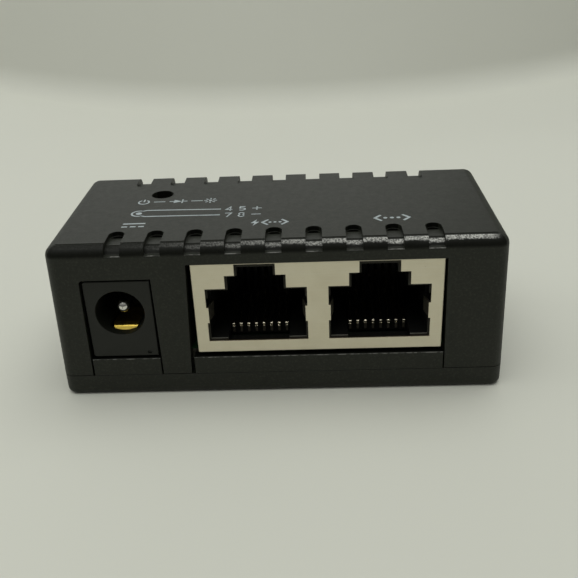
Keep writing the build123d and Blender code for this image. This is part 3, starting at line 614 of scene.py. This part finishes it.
# network: three dots between two angles, with a lightning bolt for the one that carries power
angle_left = [stroke([(0.75, 0.85), (0, 0), (0.75, -0.85)], ANGLE)]
angle_right = [stroke([(-0.75, 0.85), (0, 0), (-0.75, -0.85)], ANGLE)]
dots = [disc((x, 0), 0.2, 18) for x in (-0.65, 0, 0.65)]
bolt = [
    [(0.25, 1.05), (-0.55, -0.15), (-0.02, -0.15), (-0.25, -1.05), (0.55, 0.2), (0.02, 0.2)],
]
print_row("print_powered_network", POWERED_NETWORK_Y, [
    (bolt, -2.7, 1), (angle_left, -1.75, 1), (dots, -0.1, 1), (angle_right, 1.5, 1),
])
print_row("print_network", NETWORK_Y, [
    (angle_left, 12.75, 1.1), (dots, 14.95, 1.3), (angle_right, 17.2, 1.1),
])


# ---------------------------------------------------------------- floor, lights and camera

# the floor: level from its front edge to the sweep, which turns up into a short leaning backdrop
FLOOR_FRONT, FLOOR_BREAKS, FLOOR_HALF_WIDTH = -6.0, (-0.3, 0.05), 3.0
SWEEP_START, SWEEP_RADIUS, SWEEP_STEPS = 0.130, 0.012, 12
BACKDROP_LEAN, BACKDROP_HEIGHT = math.radians(68), 0.045
# the backdrop bows back with the square of the distance from the middle, up to its reach
BOW, BOW_REACH, BOWED_HALF_WIDTH, BOWED_COLUMNS = 4.0, 0.15, 0.3, 12

SOFTBOX_COLOUR = (0.985, 1.0, 0.955)
WORLD_BELOW, WORLD_ABOVE = (0.05, 0.051, 0.048, 1), (0.40, 0.405, 0.385, 1)

# the camera, fitted to the photograph
CAMERA_PLACE = (0.00509, -0.09867, 0.05966)
CAMERA_PITCH, CAMERA_YAW, CAMERA_ROLL = (math.radians(a) for a in (27.399, -2.349, 2.582))
CAMERA_LENS_MM, CAMERA_SENSOR_MM, CAMERA_NEAR = 47.95, 36, 0.005


def floor_finish():
    """Pale matt paper, slightly cloudy."""
    paper, pale_paper = (0.60, 0.605, 0.545), (0.63, 0.635, 0.575)
    look = Look("studio_pale_paper")
    cloud = look.noise(0.012, 3.0)
    colour = look.mix(cloud, paper, pale_paper)
    relief = look.bump(look.noise(1.2, 3.0), 0.02, 0.3)
    return look.finish(colour, look.spread(cloud, 0.75, 0.85), relief)


def studio_floor():
    """A pale sweep: level under the object, and rising behind it into a low bowed backdrop."""
    section = [(y, 0.0) for y in (FLOOR_FRONT, *FLOOR_BREAKS)]
    for i in range(SWEEP_STEPS + 1):
        turn = BACKDROP_LEAN * i / SWEEP_STEPS
        along, up = SWEEP_RADIUS * math.sin(turn), SWEEP_RADIUS - SWEEP_RADIUS * math.cos(turn)
        section.append((SWEEP_START + along, up))
    foot_y, foot_z = section[-1]
    along, up = (BACKDROP_HEIGHT * ratio(BACKDROP_LEAN) for ratio in (math.cos, math.sin))
    section.append((foot_y + along, foot_z + up))
    bowed = range(-BOWED_COLUMNS, BOWED_COLUMNS + 1)
    columns = [BOWED_HALF_WIDTH * i / BOWED_COLUMNS for i in bowed]
    mesh = bmesh.new()
    rows = []
    for x in (-FLOOR_HALF_WIDTH, *columns, FLOOR_HALF_WIDTH):
        bow = BOW * min(abs(x), BOW_REACH) ** 2
        rows.append([
            mesh.verts.new((x, y + (bow if y >= SWEEP_START else 0.0), z)) for y, z in section
        ])
    for near, far in zip(rows, rows[1:]):
        for i in range(len(section) - 1):
            face = mesh.faces.new((near[i], far[i], far[i + 1], near[i + 1]))
            face.smooth = True
    data = bpy.data.meshes.new("studio_floor")
    mesh.to_mesh(data)
    mesh.free()
    floor = bpy.data.objects.new("studio_floor", data)
    data.materials.append(floor_finish())
    scene.collection.objects.link(floor)


def softbox(name, place, target, size, watts):
    """A rectangular lamp, unseen by the camera, turned to its target."""
    data = bpy.data.lights.new(name, "AREA")
    data.shape = "RECTANGLE"
    data.size, data.size_y = size
    data.energy = watts
    data.color = SOFTBOX_COLOUR
    lamp = bpy.data.objects.new(name, data)
    lamp.location = place
    lamp.rotation_euler = (Vector(target) - Vector(place)).to_track_quat("-Z", "Y").to_euler()
    lamp.visible_camera = False
    scene.collection.objects.link(lamp)


def room():
    """Soft light all round, brighter from above than from the sides."""
    world = bpy.data.worlds.new("room")
    world.use_nodes = True
    tree = world.node_tree
    tree.nodes.clear()
    coordinates = tree.nodes.new("ShaderNodeTexCoord")
    height = tree.nodes.new("ShaderNodeSeparateXYZ")
    tree.links.new(coordinates.outputs["Generated"], height.inputs[0])
    ramp = tree.nodes.new("ShaderNodeValToRGB")
    low, high = ramp.color_ramp.elements
    low.position, low.color = 0.0, WORLD_BELOW
    high.position, high.color = 0.9, WORLD_ABOVE
    tree.links.new(height.outputs["Z"], ramp.inputs[0])
    background = tree.nodes.new("ShaderNodeBackground")
    tree.links.new(ramp.outputs[0], background.inputs["Color"])
    background.inputs["Strength"].default_value = 1.0
    surface = tree.nodes.new("ShaderNodeOutputWorld")
    tree.links.new(background.outputs[0], surface.inputs["Surface"])
    scene.world = world


def camera():
    """Seen from in front and above, turned a little to the left, as in the photograph."""
    level = math.cos(CAMERA_PITCH)
    forward = Vector((
        math.sin(CAMERA_YAW) * level, math.cos(CAMERA_YAW) * level, -math.sin(CAMERA_PITCH),
    ))
    right = Vector((math.cos(CAMERA_YAW), -math.sin(CAMERA_YAW), 0))
    down = forward.cross(right)
    side = right * math.cos(CAMERA_ROLL) + down * math.sin(CAMERA_ROLL)
    under = down * math.cos(CAMERA_ROLL) - right * math.sin(CAMERA_ROLL)
    data = bpy.data.cameras.new("photo_view")
    data.sensor_width = CAMERA_SENSOR_MM
    data.lens = CAMERA_LENS_MM
    data.clip_start = CAMERA_NEAR
    seen = bpy.data.objects.new("photo_view", data)
    turned = Matrix((side, -under, -forward)).transposed()
    seen.matrix_world = Matrix.Translation(CAMERA_PLACE) @ turned.to_4x4()
    scene.collection.objects.link(seen)
    scene.camera = seen


studio_floor()
room()
softbox("ceiling", place=(0.02, -0.02, 0.65), target=(0, 0, 0), size=(1.0, 0.5), watts=3.0)
softbox("behind", place=(-0.15, 0.42, 0.20), target=(0, 0, 0.02), size=(0.6, 0.15), watts=0.27)
softbox("window_left", place=(-0.7, 0.05, 0.45), target=(0, 0, 0), size=(0.4, 0.5), watts=0.6)
softbox(
    "lamp_in_front", place=(0.02, -0.30, 0.56), target=(0, 0, 0.01), size=(0.12, 0.04), watts=0.10
)
camera()
scene.view_settings.view_transform = "Standard"
scene.view_settings.look = "None"
